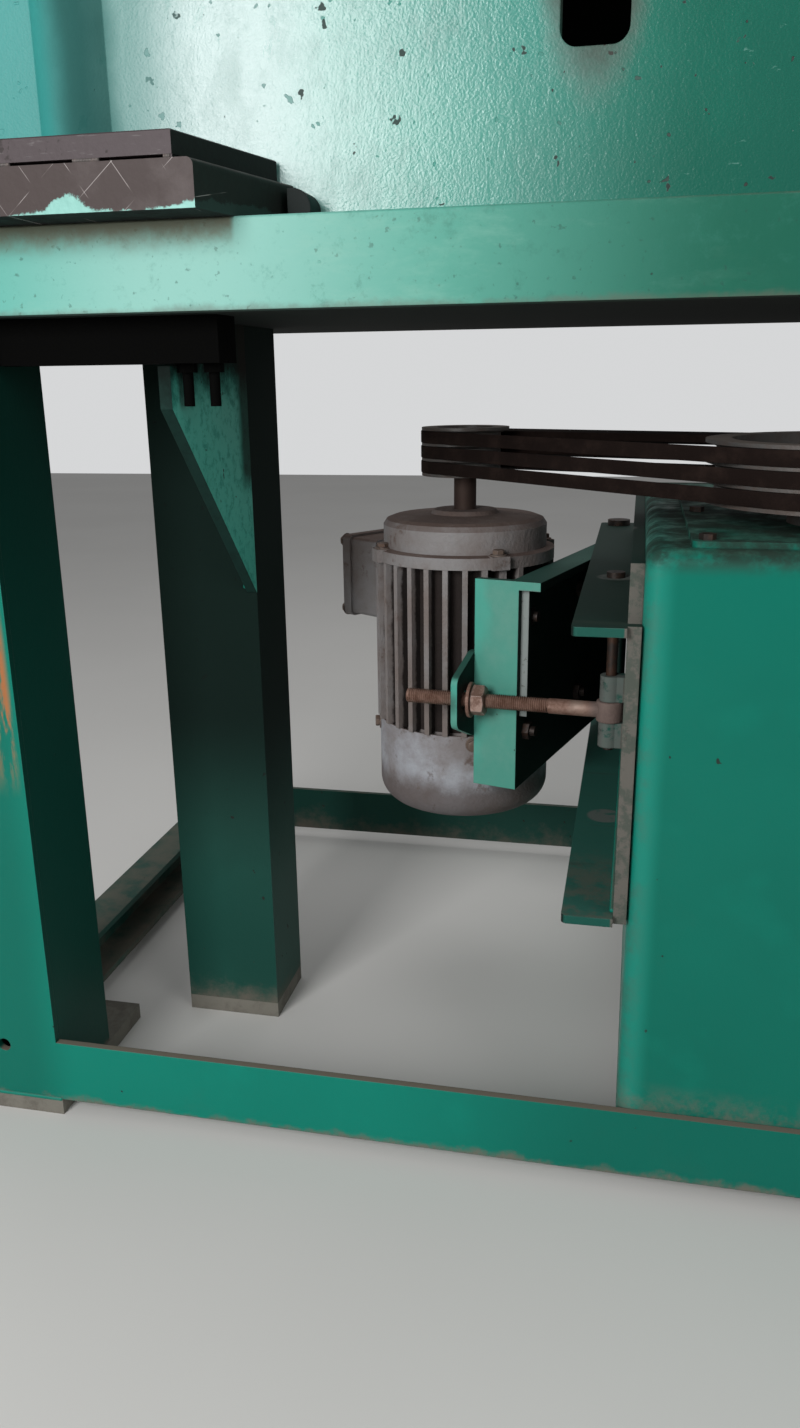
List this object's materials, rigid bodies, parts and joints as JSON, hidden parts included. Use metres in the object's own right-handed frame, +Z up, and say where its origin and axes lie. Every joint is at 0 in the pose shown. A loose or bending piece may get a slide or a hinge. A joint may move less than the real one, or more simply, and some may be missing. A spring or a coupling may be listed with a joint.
{
  "type": "hydraulic press",
  "caption": "Wide-frame hydraulic press with a slab bed, a ram over a tool block, and an oil tank and belt-driven pump under the bed.",
  "frame": {"origin": "on the floor, at the centre of the footprint", "axes": "+X to the operator's right, +Y to the back, +Z up"},
  "size_m": [1.29, 0.86, 1.7],
  "materials": {
    "green_paint": "worn gloss enamel with an orange-peel skin, dust and small chips",
    "dark_steel": "dark, oily and dusty",
    "worn_block": "worn brown-grey steel with remains of green paint",
    "bare_steel": "handled bare steel",
    "press_black": "satin black enamel",
    "bronze": "turned",
    "hard_chrome": "polished",
    "pipe_steel": "drawn, zinc plated",
    "signal_red": "matt",
    "cast_iron": "turned casting, dusty",
    "belt_rubber": "matt, dusty",
    "motor_grey": "grey enamel under brown dust",
    "core_steel": "laminated",
    "black_plastic": "matt",
    "rusty_steel": "brown rust"
  },
  "bodies": {
    "frame": {"front_frame": "green_paint", "left_front_post": "green_paint", "right_front_post": "green_paint", "left_rear_post": "green_paint", "right_rear_post": "green_paint", "left_base_rail": "green_paint", "right_base_rail": "green_paint", "rear_base_rail": "green_paint", "tank_bearers": "green_paint", "foot_pads": "dark_steel", "bed_slab": "green_paint", "bed_gusset": "green_paint", "clamp_beam": "dark_steel", "clamp_bolts": "dark_steel", "block_body": "worn_block", "block_plate": "bare_steel", "block_stop": "green_paint", "front_wall": "green_paint", "rear_wall": "green_paint", "body_cover": "green_paint", "head_bracket": "green_paint", "cylinder_barrel": "press_black", "cylinder_gland": "bronze", "hex_bolts": "dark_steel", "cylinder_pipes": "pipe_steel", "tank_pipes": "pipe_steel", "valve_block": "press_black", "gauge_case": "press_black", "oil_tank": "green_paint", "tank_lid": "green_paint", "pump_body": "cast_iron", "suction_strainer": "pipe_steel", "hinge_plate": "green_paint", "hinge_pin": "dark_steel", "eye_pin": "dark_steel", "v_belts": "belt_rubber"},
    "ram": {"piston_rod": "hard_chrome", "tool_plate": "bare_steel"},
    "bracket": {"motor_bracket": "green_paint", "motor_body": "motor_grey", "stator_core": "core_steel", "drive_end_shield": "motor_grey", "fan_end_shield": "motor_grey", "motor_bearings": "bare_steel", "fan_cowl": "motor_grey", "terminal_box": "motor_grey", "cable_gland": "black_plastic", "foot_bolts": "dark_steel"},
    "rotor": {"rotor_shaft": "bare_steel", "cooling_fan": "black_plastic", "motor_pulley": "cast_iron"},
    "tie_rod": {"eye_bolt": "rusty_steel"},
    "nut": {"tension_nut": "rusty_steel", "lock_washer": "rusty_steel"},
    "pump_drive": {"pump_shaft": "bare_steel", "driven_pulley": "cast_iron"},
    "lever": {"valve_lever": "press_black"},
    "needle": {"gauge_needle": "signal_red"},
    "cap": {"filler_cap": "press_black"}
  },
  "joints": [
    {"name": "ram_slide", "type": "slide", "parent": "frame", "child": "ram", "axis": [0, 0, -1], "range_m": [0, 0.2]},
    {"name": "bracket_swing", "type": "hinge", "parent": "frame", "child": "bracket", "pos_m": [0.049, 0.323, 0.444], "axis": [0, 0, 1], "range_deg": [-2, 3], "deforming": ["v_belts"]},
    {"name": "rod_swing", "type": "hinge", "parent": "frame", "child": "tie_rod", "pos_m": [0.0555, -0.12011, 0.431], "axis": [0, 0, 1], "range_deg": [-1.7, 2.4]},
    {"name": "nut_travel", "type": "slide", "parent": "tie_rod", "child": "nut", "axis": [-0.9951, 0.0993, 0], "range_m": [-0.025, 0.017]},
    {"name": "pump_turn", "type": "hinge", "parent": "frame", "child": "pump_drive", "pos_m": [0.275, -0.213, 0.676], "axis": [0, 0, 1], "continuous": true},
    {"name": "motor_turn", "type": "hinge", "parent": "bracket", "child": "rotor", "pos_m": [-0.13812, 0.05738, 0.676], "axis": [0, 0, 1], "continuous": true},
    {"name": "lever_tilt", "type": "hinge", "parent": "frame", "child": "lever", "pos_m": [0.421, -0.38, 1.228], "axis": [1, 0, 0], "range_deg": [-15, 15], "stiffness_Nm_per_rad": 8},
    {"name": "needle_turn", "type": "hinge", "parent": "frame", "child": "needle", "pos_m": [0.27, -0.29965, 1.24], "axis": [0, 1, 0], "range_deg": [0, 270], "stiffness_Nm_per_rad": 0.01},
    {"name": "cap_turn", "type": "hinge", "parent": "frame", "child": "cap", "pos_m": [0.44, 0.022, 0.682], "axis": [0, 0, 1], "continuous": true}
  ],
  "couplings": [
    {"joint": "rod_swing", "follows": "bracket_swing", "ratio": 0.715},
    {"joint": "nut_travel", "follows": "bracket_swing", "m_per_rad": -0.4405},
    {"joint": "motor_turn", "follows": "pump_turn", "ratio": 2.5926}
  ]
}
